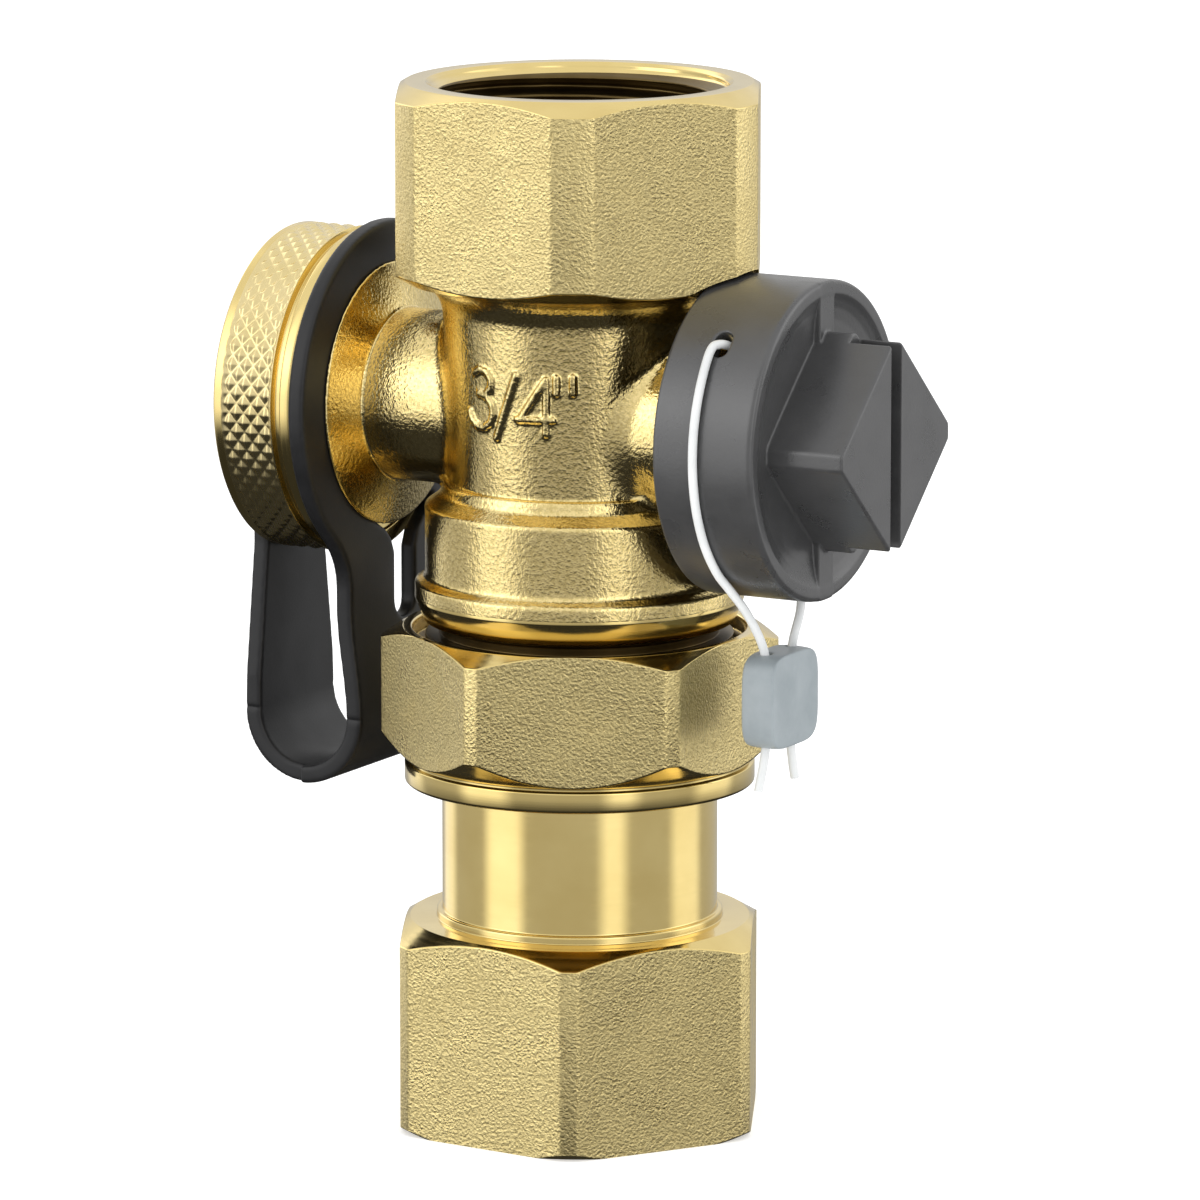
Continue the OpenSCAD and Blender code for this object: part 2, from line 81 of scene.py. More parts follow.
CAP_BORE_R, CAP_FLOOR = 13.2, 27.95
KNURL_FROM, KNURL_TO, KNURL_AROUND, KNURL_ALONG, KNURL_DEPTH = 23.4, 28.4, 53, 1.5, 0.24


# ---------------------------------------------------------------- mesh helpers
def quads_object(name, co, quads):
    """An object from points in mm and quads."""
    me = bpy.data.meshes.new(name)
    quads = np.asarray(quads, dtype=np.int32)
    me.vertices.add(len(co))
    me.vertices.foreach_set("co", (np.asarray(co, dtype=np.float32) * MM).ravel())
    me.loops.add(quads.size)
    me.loops.foreach_set("vertex_index", quads.ravel())
    me.polygons.add(len(quads))
    me.polygons.foreach_set("loop_start", np.arange(0, quads.size, 4, dtype=np.int32))
    me.update(calc_edges=True)
    me.validate()
    me.shade_smooth()
    ob = bpy.data.objects.new(name, me)
    bpy.context.scene.collection.objects.link(ob)
    return ob


def volume_sign(co, quads):
    a, b, c, d = (co[quads[:, i]] for i in range(4))
    total = np.einsum("ij,ij->i", a, np.cross(b, c)).sum()
    return total + np.einsum("ij,ij->i", a, np.cross(c, d)).sum()


def closed_grid(name, co):
    """A torus-like mesh from an array of points, rows by columns, closed both ways."""
    rows, cols, _ = co.shape
    i, j = np.meshgrid(np.arange(rows), np.arange(cols), indexing="ij")
    i2, j2 = (i + 1) % rows, (j + 1) % cols
    quads = np.stack([i * cols + j, i * cols + j2, i2 * cols + j2, i2 * cols + j], -1)
    quads, co = quads.reshape(-1, 4), co.reshape(-1, 3)
    if volume_sign(co, quads) < 0:
        quads = quads[:, ::-1]
    return quads_object(name, co, quads)


def rounded(points, radius=0.15, steps=3):
    """A closed outline with its corners rounded. A point may carry its own radius."""
    out = []
    n = len(points)
    for i in range(n):
        p = np.array(points[i][:2], float)
        r = points[i][2] if len(points[i]) > 2 else radius
        a = np.array(points[i - 1][:2], float) - p
        b = np.array(points[(i + 1) % n][:2], float) - p
        la, lb = np.linalg.norm(a), np.linalg.norm(b)
        a, b = a / la, b / lb
        half = math.acos(max(-1.0, min(1.0, float(a @ b)))) / 2
        if r <= 0 or half > math.radians(89):
            out.append(p)
            continue
        cut = min(r / math.tan(half), 0.45 * la, 0.45 * lb)
        for k in range(steps + 1):
            t = k / steps
            out.append(p + a * cut * (1 - t) ** 2 + b * cut * t**2)
    return np.array(out)


def hold(points, gap=0.08):
    """Adds a point close to each end of the long sides, to keep them flat in smooth shading."""
    out = []
    for p, q in zip(points, np.roll(points, -1, axis=0)):
        length = np.linalg.norm(q - p)
        out.append(p)
        if length > 4 * gap:
            out += [p + (q - p) * gap / length, q - (q - p) * gap / length]
    return np.array(out)


def soft_min(a, b, k):
    h = np.clip(0.5 + 0.5 * (b - a) / k, 0, 1)
    return b * (1 - h) + a * h - k * h * (1 - h)


def soft_max(a, b, k):
    return -soft_min(-a, -b, k)


def hex_radius(theta, af, turn):
    """Distance from the axis to a hexagon's side, with a corner at angle turn."""
    t = np.mod(theta - math.radians(turn), math.pi / 3) - math.pi / 6
    return af / 2 / np.cos(t)


def thread(u, depth):
    """Thread profile, 0 at the root and depth at the crest, over one pitch of u."""
    w = np.abs(np.mod(u, 1.0) - 0.5) * 2
    return depth * np.clip((w - 0.14) / 0.72, 0, 1)


def turned(name, outline, n=480, hexagon=None, threads=(), axis="z", z0=0.0, shape=None,
           height=None):
    """A turned piece with a bore. outline is a closed list of (radius, height).
    hexagon is (across flats, turn, low, high, inner radius); threads are (low, high, depth,
    pitch, kind, inner radius, outer radius), kind 1 for an outside thread and -1 for an
    inside one. shape and height are functions of r, z and angle that move the points.
    axis is z, or -x for a piece whose heights run out along the drain, at height z0."""
    theta = np.arange(n) * 2 * math.pi / n
    r = np.repeat(outline[:, :1], n, axis=1)
    z = np.repeat(outline[:, 1:2], n, axis=1)
    if hexagon:
        af, turn, low, high, inner = hexagon
        flat = hex_radius(theta, af, turn)[None, :]
        on = (z >= low) & (z <= high) & (r > inner)
        r = np.where(on, soft_min(r, flat, 0.09), r)
    for low, high, depth, pitch, kind, r_low, r_high in threads:
        on = (z > low) & (z < high) & (r > r_low) & (r < r_high)
        fade = np.clip(np.minimum(z - low, high - z) / (0.6 * pitch), 0, 1)
        cut = thread(z / pitch - theta[None, :] / (2 * math.pi), depth)
        r = np.where(on, r - kind * (depth - cut) * fade, r)
    if shape is not None:
        r = shape(r, z, theta[None, :])
    if height is not None:
        z = height(r, z, theta[None, :])
    x, y = r * np.cos(theta), r * np.sin(theta)
    if axis == "z":
        co = np.stack([x, y, z], -1)
    else:
        co = np.stack([-z, y, z0 + x], -1)
    return closed_grid(name, co)


def sample_rows(points, spans, step):
    """Splits the sides of an outline that lie in the given (low, high, r_low, r_high) spans."""
    out = []
    for p, q in zip(points, np.roll(points, -1, axis=0)):
        mid = (p + q) / 2
        fine = any(lo <= mid[1] <= hi and r0 <= mid[0] <= r1 for lo, hi, r0, r1 in spans)
        m = max(1, int(np.ceil(np.linalg.norm(q - p) / step))) if fine else 1
        out += [p + (q - p) * k / m for k in range(m)]
    return np.array(out)


# ---------------------------------------------------------------- signed-distance helpers
def lattice(low, high, h):
    axes = [np.arange(a, b + h, h, dtype=np.float32) for a, b in zip(low, high)]
    return np.meshgrid(*axes, indexing="ij", sparse=True)


def outline_table(points, low, high, h=0.06):
    """Signed distance to a closed outline on a table, negative inside."""
    u = np.arange(low[0], high[0] + h, h)
    v = np.arange(low[1], high[1] + h, h)
    uu, vv = np.meshgrid(u, v, indexing="ij")
    best = np.full(uu.shape, 1e9)
    inside = np.zeros(uu.shape, bool)
    pts = np.asarray(points, float)
    for p, q in zip(pts, np.roll(pts, -1, axis=0)):
        d = q - p
        t = np.clip(((uu - p[0]) * d[0] + (vv - p[1]) * d[1]) / max(d @ d, 1e-12), 0, 1)
        best = np.minimum(best, np.hypot(uu - p[0] - t * d[0], vv - p[1] - t * d[1]))
        if p[1] != q[1]:
            cross = (p[1] > vv) != (q[1] > vv)
            side = uu < (q[0] - p[0]) * (vv - p[1]) / (q[1] - p[1]) + p[0]
            inside ^= cross & side
    return np.where(inside, -best, best).astype(np.float32), low, h


def look_up(table, u, v):
    data, low, h = table
    a = np.clip((u - low[0]) / h, 0, data.shape[0] - 1.001)
    b = np.clip((v - low[1]) / h, 0, data.shape[1] - 1.001)
    i, j = a.astype(np.int32), b.astype(np.int32)
    fa, fb = a - i, b - j
    near = data[i, j] * (1 - fb) + data[i, j + 1] * fb
    far = data[i + 1, j] * (1 - fb) + data[i + 1, j + 1] * fb
    return near * (1 - fa) + far * fa


def surface(name, field, low, h, relax=0):
    """An object from a signed distance field on a lattice, in mm."""
    edge = 3 * h
    field = np.clip(field, -edge, edge).astype(np.float32)
    grid = openvdb.FloatGrid(edge)
    grid.copyFromArray(np.ascontiguousarray(field))
    co, quads = grid.convertToQuads(isovalue=0.0)
    co = np.asarray(co, float) * h + np.array(low, float)
    quads = np.asarray(quads, np.int64)
    if volume_sign(co, quads) < 0:
        quads = quads[:, ::-1]
    for _ in range(relax):
        total = np.zeros_like(co)
        count = np.zeros(len(co))
        for k in range(4):
            np.add.at(total, quads[:, k], co[quads[:, (k + 1) % 4]])
            np.add.at(count, quads[:, k], 1)
        co = 0.5 * co + 0.5 * total / count[:, None]
    return quads_object(name, co, quads)


# ---------------------------------------------------------------- materials
def new_material(name):
    mat = bpy.data.materials.new(name)
    mat.use_nodes = True
    nodes, links = mat.node_tree.nodes, mat.node_tree.links
    nodes.clear()
    out = nodes.new("ShaderNodeOutputMaterial")
    shader = nodes.new("ShaderNodeBsdfPrincipled")
    links.new(shader.outputs[0], out.inputs[0])
    coord = nodes.new("ShaderNodeTexCoord")
    return mat, nodes, links, shader, coord.outputs["Object"]


def noise(nodes, links, coord, size_mm, detail=2.0, rough=0.5):
    tex = nodes.new("ShaderNodeTexNoise")
    tex.inputs["Scale"].default_value = 1000.0 / size_mm
    tex.inputs["Detail"].default_value = detail
    tex.inputs["Roughness"].default_value = rough
    links.new(coord, tex.inputs["Vector"])
    return tex.outputs[0]


def ramp(nodes, links, value, stops):
    node = nodes.new("ShaderNodeValToRGB")
    el = node.color_ramp.elements
    el[0].position, el[0].color = stops[0][0], (*stops[0][1], 1)
    el[1].position, el[1].color = stops[-1][0], (*stops[-1][1], 1)
    for pos, col in stops[1:-1]:
        e = el.new(pos)
        e.color = (*col, 1)
    links.new(value, node.inputs[0])
    return node.outputs[0]


def to_range(nodes, links, value, low, high, from_low=0.3, from_high=0.7):
    node = nodes.new("ShaderNodeMapRange")
    node.inputs["From Min"].default_value = from_low
    node.inputs["From Max"].default_value = from_high
    node.inputs["To Min"].default_value = low
    node.inputs["To Max"].default_value = high
    links.new(value, node.inputs["Value"])
    return node.outputs[0]


def bump(nodes, links, shader, height, distance_mm):
    node = nodes.new("ShaderNodeBump")
    node.inputs["Strength"].default_value = 1.0
    node.inputs["Distance"].default_value = distance_mm * MM
    links.new(height, node.inputs["Height"])
    links.new(node.outputs[0], shader.inputs["Normal"])


def grain_metal(name, dark, light, rough, grain_mm, depth_mm, rough_spread=0.1, soft_mm=4.0):
    """Metal with a blasted or cast grain."""
    mat, nodes, links, shader, coord = new_material(name)
    fine = noise(nodes, links, coord, grain_mm, 2.0, 0.55)
    wide = noise(nodes, links, coord, soft_mm, 3.0, 0.5)
    links.new(ramp(nodes, links, fine, [(0.36, dark), (0.6, light)]), shader.inputs["Base Color"])
    shader.inputs["Metallic"].default_value = 1.0
    links.new(to_range(nodes, links, wide, rough - rough_spread, rough + rough_spread),
              shader.inputs["Roughness"])
    bump(nodes, links, shader, fine, depth_mm)
    return mat


def turned_metal(name, colour, dark, rough, axis, ring_mm=0.25, depth_mm=0.002):
    """Bright metal with fine rings left by turning about an axis (0 for x, 2 for z)."""
    mat, nodes, links, shader, coord = new_material(name)
    squeeze = nodes.new("ShaderNodeMapping")
    scale = [18.0, 18.0, 18.0]
    scale[axis] = 1000.0 / ring_mm
    squeeze.inputs["Scale"].default_value = scale
    links.new(coord, squeeze.inputs["Vector"])
    rings = nodes.new("ShaderNodeTexNoise")
    rings.inputs["Scale"].default_value = 1.0
    rings.inputs["Detail"].default_value = 3.0
    links.new(squeeze.outputs[0], rings.inputs["Vector"])
    wide = noise(nodes, links, coord, 6.0, 3.0)
    links.new(ramp(nodes, links, wide, [(0.35, dark), (0.65, colour)]), shader.inputs["Base Color"])
    shader.inputs["Metallic"].default_value = 1.0
    links.new(to_range(nodes, links, rings.outputs[0], rough - 0.04, rough + 0.05),
              shader.inputs["Roughness"])
    bump(nodes, links, shader, rings.outputs[0], depth_mm)
    return mat


def dull(name, dark, light, rough, grain_mm, depth_mm, specular=0.5, spread=0.06):
    """Plastic or rubber with a fine moulded grain and a little unevenness in its gloss."""
    mat, nodes, links, shader, coord = new_material(name)
    fine = noise(nodes, links, coord, grain_mm, 3.0, 0.6)
    wide = noise(nodes, links, coord, 5.0, 4.0, 0.6)
    links.new(ramp(nodes, links, wide, [(0.35, dark), (0.65, light)]), shader.inputs["Base Color"])
    links.new(to_range(nodes, links, wide, rough - spread, rough + spread), shader.inputs["Roughness"])
    shader.inputs["Specular IOR Level"].default_value = specular
    bump(nodes, links, shader, fine, depth_mm)
    return mat


BLASTED = grain_metal("brass_blasted", (0.74, 0.59, 0.26), (0.93, 0.76, 0.355), 0.32, 0.25, 0.085)
CAST = grain_metal("brass_cast", (0.74, 0.58, 0.24), (0.90, 0.72, 0.33), 0.14, 0.32, 0.050, 0.04)
POLISHED_Z = turned_metal("brass_turned_z", (0.80, 0.63, 0.265), (0.74, 0.57, 0.225), 0.13, 2)
POLISHED_X = turned_metal("brass_turned_x", (0.80, 0.63, 0.265), (0.74, 0.57, 0.225), 0.18, 0)
KNURLED = turned_metal("brass_knurled", (0.82, 0.68, 0.36), (0.76, 0.62, 0.30), 0.26, 0)
# painted shade: dark brass that stands in for the shade inside the bores and on the union thread above
# the nut; the real brass there is as bright as outside
PAINTED_SHADE_BRASS = turned_metal("brass_painted_shade", (0.15, 0.105, 0.04), (0.09, 0.06, 0.02), 0.35, 2)
CHROME = turned_metal("chrome_ball", (0.80, 0.80, 0.82), (0.72, 0.72, 0.74), 0.08, 0)
STEEL = turned_metal("spring_steel", (0.62, 0.63, 0.65), (0.50, 0.51, 0.53), 0.28, 0)
PTFE = dull("ptfe", (0.78, 0.78, 0.75), (0.88, 0.88, 0.85), 0.5, 0.3, 0.004)
RUBBER = dull("strap_rubber", (0.009, 0.009, 0.010), (0.016, 0.016, 0.017), 0.45, 0.25, 0.008, 0.4)
KNOB_PLASTIC = dull("knob_plastic", (0.046, 0.046, 0.047), (0.060, 0.060, 0.061), 0.30, 0.30, 0.012, 0.9)
SEAL_METAL = dull("seal_metal", (0.27, 0.31, 0.33), (0.34, 0.38, 0.40), 0.36, 0.6, 0.010, 0.5)
WIRE_WHITE = dull("wire_white", (0.74, 0.76, 0.76), (0.84, 0.85, 0.85), 0.34, 0.3, 0.003, 0.5)


def paint(ob, mat):
    ob.data.materials.clear()
    ob.data.materials.append(mat)
    return ob


def finish_piece(ob, mat, body, slot, *nodes):
    paint(ob, mat)
    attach(ob, body)
    if nodes:
        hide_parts(*nodes)
    return ob


# ---------------------------------------------------------------- upper socket
def upper_socket():
    low = (UPPER_CORNER - 15.6) * math.tan(math.radians(30))
    high = (UPPER_CORNER - 15.5) * math.tan(math.radians(30))
    floor = TOTAL_H - SOCKET_DEPTH
    pts = rounded([
        (FLOW_R, UPPER_HEX_Z), (14.4, UPPER_HEX_Z, 0), (15.6, UPPER_HEX_Z),
        (UPPER_CORNER, UPPER_HEX_Z + low), (UPPER_CORNER, UPPER_HEX_Z + 2.4, 0),
        (UPPER_CORNER, TOTAL_H - high), (15.5, TOTAL_H), (MOUTH_R, TOTAL_H),
        (SOCKET_R, TOTAL_H - MOUTH_H), (SOCKET_R, floor), (FLOW_R, floor)], 0.12)
    spans = [(UPPER_HEX_Z - 0.05, UPPER_HEX_Z + 2.4, 14.4, 20),
             (TOTAL_H - high - 0.1, TOTAL_H - 0.05, 15.4, 20),
             (floor + 0.3, TOTAL_H - 0.4, 11, 13.8)]
    pts = sample_rows(pts, spans, 0.11)

    def scoop(r, z, theta):
        """Lifts the underside clear of the knob."""
        y = r * np.sin(theta)
        lift = STEM_Z + np.sqrt(np.maximum(SCOOP_R**2 - y * y, 0))
        near = (r * np.cos(theta) > SCOOP_X) & (r > 14.4) & (z < UPPER_HEX_Z + 2.5)
        return np.where(near, np.maximum(z, lift), z)

    return turned("upper_socket", pts, 720,
                  (UPPER_AF, UPPER_TURN, UPPER_HEX_Z - 0.01, TOTAL_H + 0.01, 14.2),
                  [(floor + 0.4, TOTAL_H - 0.3, G_DEPTH, G_PITCH, -1, 11, 13.9)], height=scoop)


# ---------------------------------------------------------------- cast middle of the body
def numerals(s, z):
    """Strokes of the raised size number, as a distance in the barrel's unrolled surface."""
    best = np.full(np.broadcast(s, z).shape, 9.0, np.float32)

    def stroke(ax, az, bx, bz):
        dx, dz = bx - ax, bz - az
        t = np.clip(((s - ax) * dx + (z - az) * dz) / (dx * dx + dz * dz), 0, 1)
        return np.hypot(s - ax - t * dx, z - az - t * dz)

    def arc(cx, cz, r, a0, a1, n=7):
        found = np.full(best.shape, 9.0, np.float32)
        angles = np.radians(np.linspace(a0, a1, n))
        for p, q in zip(angles, angles[1:]):
            found = np.minimum(found, stroke(cx + r * math.cos(p), cz + r * math.sin(p),
                                             cx + r * math.cos(q), cz + r * math.sin(q)))
        return found

    for piece in (arc(-3.9, 4.0, 1.15, -110, 140), arc(-4.15, 1.4, 1.55, -170, 90, 9),
                  stroke(-2.3, -0.85, -0.1, 4.95),
                  stroke(2.7, -0.25, 2.75, 4.7), stroke(2.75, 4.7, 0.3, 1.1),
                  stroke(-0.05, 1.0, 3.35, 1.05), stroke(3.68, 4.9, 3.68, 3.45),
                  stroke(5.15, 4.95, 5.15, 3.5)):
        best = np.minimum(best, piece)
    return best


def body_casting():
    h = 0.16
    low, high = (-20.0, -15.6, 47.4), (18.2, 15.6, 77.6)
    x, y, z = lattice(low, high, h)
    radius = np.hypot(x, y)
    arc = [(15.2 + 0.2 - 3.2 * math.sin(a), UPPER_HEX_Z - 3.2 + 3.2 * math.cos(a))
           for a in np.linspace(0, math.pi / 2, 9)]
    stack = rounded([(-5, RIDGE_BOTTOM), (RIDGE_R, RIDGE_BOTTOM, 0.05), (RIDGE_R, 49.35, 0.25),
                     (BAND_R, 49.95, 0.5), (BAND_R, BAND_TOP, 0.25), (12.35, 57.3, 0.6),
                     (BARREL_R, 58.6, 0.8)], 0.0)
    stack = [tuple(p) for p in stack] + [(p[0], p[1]) for p in arc[::-1]] + [
        (15.4, UPPER_HEX_Z + 0.3), (-5, UPPER_HEX_Z + 0.3)]
    trunk = look_up(outline_table(stack, (-6, 46), (20, 80)), radius,
                    np.broadcast_to(z, np.broadcast(radius, z).shape))
    # drain branch: neck, flange cone and rim, about the drain's axis
    rho = np.hypot(y, z - DRAIN_Z)
    left = rounded([(-5, -2), (DRAIN_NECK_R, -2), (DRAIN_NECK_R, FLANGE_FACE, 0.05),
                    (FLANGE_R, FLANGE_EDGE, 0.12), (FLANGE_R, FLANGE_END, 0.1),
                    (-5, FLANGE_END)], 0.0)
    shape = np.broadcast(rho, x).shape
    branch = look_up(outline_table(left, (-6, -4), (14, 22)), np.broadcast_to(rho, shape),
                     np.broadcast_to(-x, shape))
    rho2 = np.hypot(y, z - STEM_Z)
    right = rounded([(-5, -2), (NECK_R, -2), (NECK_R, NECK_END, 0.5), (-5, NECK_END)], 0.0)
    boss = look_up(outline_table(right, (-6, -4), (12, 20)), np.broadcast_to(rho2, shape),
                   np.broadcast_to(x, shape))
    solid = soft_min(soft_min(trunk, branch, 1.1), boss, 1.2)
    # raised number on the barrel
    angle = np.arctan2(y, x) - math.radians(-88.0)
    s = angle * BARREL_R
    mark = numerals(s, z - 64.6)
    lift = 0.30 * np.clip((0.37 - mark) / 0.16, 0, 1)
    near = (radius > 11) & (y < 0)
    solid = np.where(near, solid - lift, solid)
    # inside
    cavity = [(-5, 30), (RETAINER_R, 30), (RETAINER_R, CHAMBER_BOTTOM), (CHAMBER_R, CHAMBER_BOTTOM),
              (CHAMBER_R, CHAMBER_TOP), (FLOW_R, CHAMBER_TOP), (FLOW_R, 90), (-5, 90)]
    inner = look_up(outline_table(cavity, (-6, 46), (20, 80)), radius, np.broadcast_to(z, shape))
    pocket = np.maximum(rho2 - STEM_POCKET_R, np.maximum(x - STEM_POCKET_END, -x))
    bore = np.maximum(rho2 - STEM_BORE_R, -x)
    drain = np.maximum(rho2 - DRAIN_BORE_R, x)
    scoop = np.maximum(np.maximum(rho2 - SCOOP_R, SCOOP_X - x), SCOOP_INNER_R - rho2)
    for hole in (inner, pocket, bore, drain, scoop):
        solid = np.maximum(solid, -hole)
    return surface("body_casting", solid, low, h, 1)


def body_lower():
    """The bright cone under the ridge and the union thread below it."""
    pts = rounded([(RETAINER_R, BODY_END), (UNION_THREAD_R - 0.6, BODY_END),
                   (UNION_THREAD_R, BODY_END + 0.6), (UNION_THREAD_R, UNION_THREAD_TOP),
                   (12.5, UNION_THREAD_TOP), (12.5, 45.4), (14.0, 45.9, 0.15),
                   (RIDGE_R, RIDGE_BOTTOM, 0.2), (RIDGE_R, RIDGE_BOTTOM + 0.35, 0.1),
                   (RETAINER_R, RIDGE_BOTTOM + 0.35)], 0.12)
    pts = sample_rows(pts, [(BODY_END + 0.6, UNION_THREAD_TOP - 0.1, 13.5, 14.2)], 0.12)
    return turned("body_union_thread", hold(pts), 360, None,
                  [(BODY_END - 0.5, UNION_THREAD_TOP, M_DEPTH, M_PITCH, 1, 13.2, 14.2)])


def body_spigot():
    pts = rounded([(DRAIN_BORE_R, FLANGE_EDGE), (SPIGOT_NECK_R, FLANGE_EDGE),
                   (SPIGOT_NECK_R, SPIGOT_START), (SPIGOT_R, SPIGOT_START),
                   (SPIGOT_R, SPIGOT_END - 0.6), (SPIGOT_R - 0.6, SPIGOT_END),
                   (DRAIN_BORE_R, SPIGOT_END)], 0.1)
    pts = sample_rows(pts, [(21.3, 26.4, 12.8, 13.4)], 0.12)
    return turned("drain_spigot", hold(pts), 360, None,
                  [(21.2, 27.2, G_DEPTH, G_PITCH, 1, 12.4, 13.4)], "-x", DRAIN_Z)


# ---------------------------------------------------------------- union
def union_nut():
    rise = NUT_CORNER - 15.77
    top = (NUT_CORNER - 15.9) * math.tan(math.radians(30))
    pts = rounded([(TUBE_R + 0.1, NUT_BOTTOM), (15.77, NUT_BOTTOM, 0.3), (15.77, 32.9, 0.15),
                   (15.45, 33.1, 0.05), (15.45, 33.3, 0.05), (15.8, 33.4, 0.05),
                   (NUT_CORNER, 33.3 + rise), (NUT_CORNER, NUT_TOP - top), (15.9, NUT_TOP),
                   (15.03, NUT_TOP, 0.2), (15.03, NUT_TOP - 1.5, 0.1),
                   (UNION_THREAD_R + 0.95, NUT_TOP - 1.5), (UNION_THREAD_R + 0.1, NUT_TOP - 2.3),
                   (UNION_THREAD_R + 0.1, 33.6), (TUBE_R + 0.1, 33.6)], 0.1)
    spans = [(33.4, 33.4 + rise + 0.1, 15.6, 18.2), (NUT_TOP - top - 0.1, NUT_TOP - 0.05, 15.7, 18.2),
             (33.7, NUT_TOP - 2.0, 13.5, 15.0)]
    pts = sample_rows(pts, spans, 0.11)
    return turned("nut_body", pts, 720, (NUT_AF, NUT_TURN, 33.35, NUT_TOP + 0.01, 15.5),
                  [(33.6, NUT_TOP - 1.6, M_DEPTH, M_PITCH, -1, 13.6, 14.9)])


def union_tail():
    high = (LOWER_CORNER - 15.3) * math.tan(math.radians(30))
    low = (LOWER_CORNER - 16.8) * math.tan(math.radians(30))
    pts = rounded([(SOCKET_R, 0), (16.8, 0), (LOWER_CORNER, low), (LOWER_CORNER, LOWER_HEX_H - high),
                   (15.3, LOWER_HEX_H), (12.91, LOWER_HEX_H), (12.91, 19.3, 0.2), (TUBE_R, 19.3, 0.15),
                   (TUBE_R, 33.65), (12.03, 33.65), (12.03, 34.95), (TUBE_R, 34.95), (TUBE_R, TUBE_TOP),
                   (TUBE_BORE_R, TUBE_TOP), (TUBE_BORE_R, SOCKET_DEPTH), (SOCKET_R, SOCKET_DEPTH)], 0.1)
    spans = [(0.03, low + 0.1, 16.5, 18.2), (LOWER_HEX_H - high - 0.1, LOWER_HEX_H - 0.05, 15.1, 18.2),
             (0.1, SOCKET_DEPTH - 0.3, 11.5, 12.6)]
    pts = sample_rows(pts, spans, 0.11)
    return turned("tail_body", pts, 720, (LOWER_AF, LOWER_TURN, -0.01, LOWER_HEX_H + 0.01, 14.2),
                  [(0.5, SOCKET_DEPTH - 0.3, G_DEPTH, G_PITCH, -1, 11.5, 12.6)])


# ---------------------------------------------------------------- drain cap
def drain_cap():
    pts = rounded([(CAP_BORE_R, CAP_IN), (CAP_R, CAP_IN, 0.25), (CAP_R, 22.45, 0.2), (14.2, 22.6),
                   (14.2, 23.2), (CAP_R, 23.35, 0.1), (CAP_R, 29.2, 0.1), (14.45, CAP_OUT, 0.15),
                   (12.6, CAP_OUT, 0.1), (12.2, 29.3, 0.1), (2.0, 29.3), (2.0, CAP_FLOOR),
                   (CAP_BORE_R, CAP_FLOOR)], 0.08)
    pts = sample_rows(pts, [(23.35, 28.45, 14.5, 15.0), (CAP_IN + 0.2, 27.9, 13.0, 13.4)], 0.12)

    def knurl(r, z, theta):
        on = (r > 14.6) & (z > KNURL_FROM) & (z < KNURL_TO)
        a = theta * KNURL_AROUND / (2 * math.pi)
        u, v = a + z / KNURL_ALONG, a - z / KNURL_ALONG
        hill = np.minimum(1 - 2 * np.abs(np.mod(u, 1) - 0.5), 1 - 2 * np.abs(np.mod(v, 1) - 0.5))
        fade = np.clip(np.minimum(z - KNURL_FROM, KNURL_TO - z) / 0.25, 0, 1)
        return np.where(on, r - KNURL_DEPTH * np.clip(0.85 - hill, 0, 1) * fade, r)

    return turned("cap_body", pts, 896, None, [(CAP_IN - 0.2, 28.2, 0.9, G_PITCH, -1, 13.0, 13.6)],
                  "-x", DRAIN_Z, knurl)


# ---------------------------------------------------------------- knob
# the slots that the wire passes through: angle, x, half length round the skirt, half width
WIRE_SLOTS = ((137.0, 19.95, 0.5, 0.82), (279.0, 21.3, 0.0, 0.9))


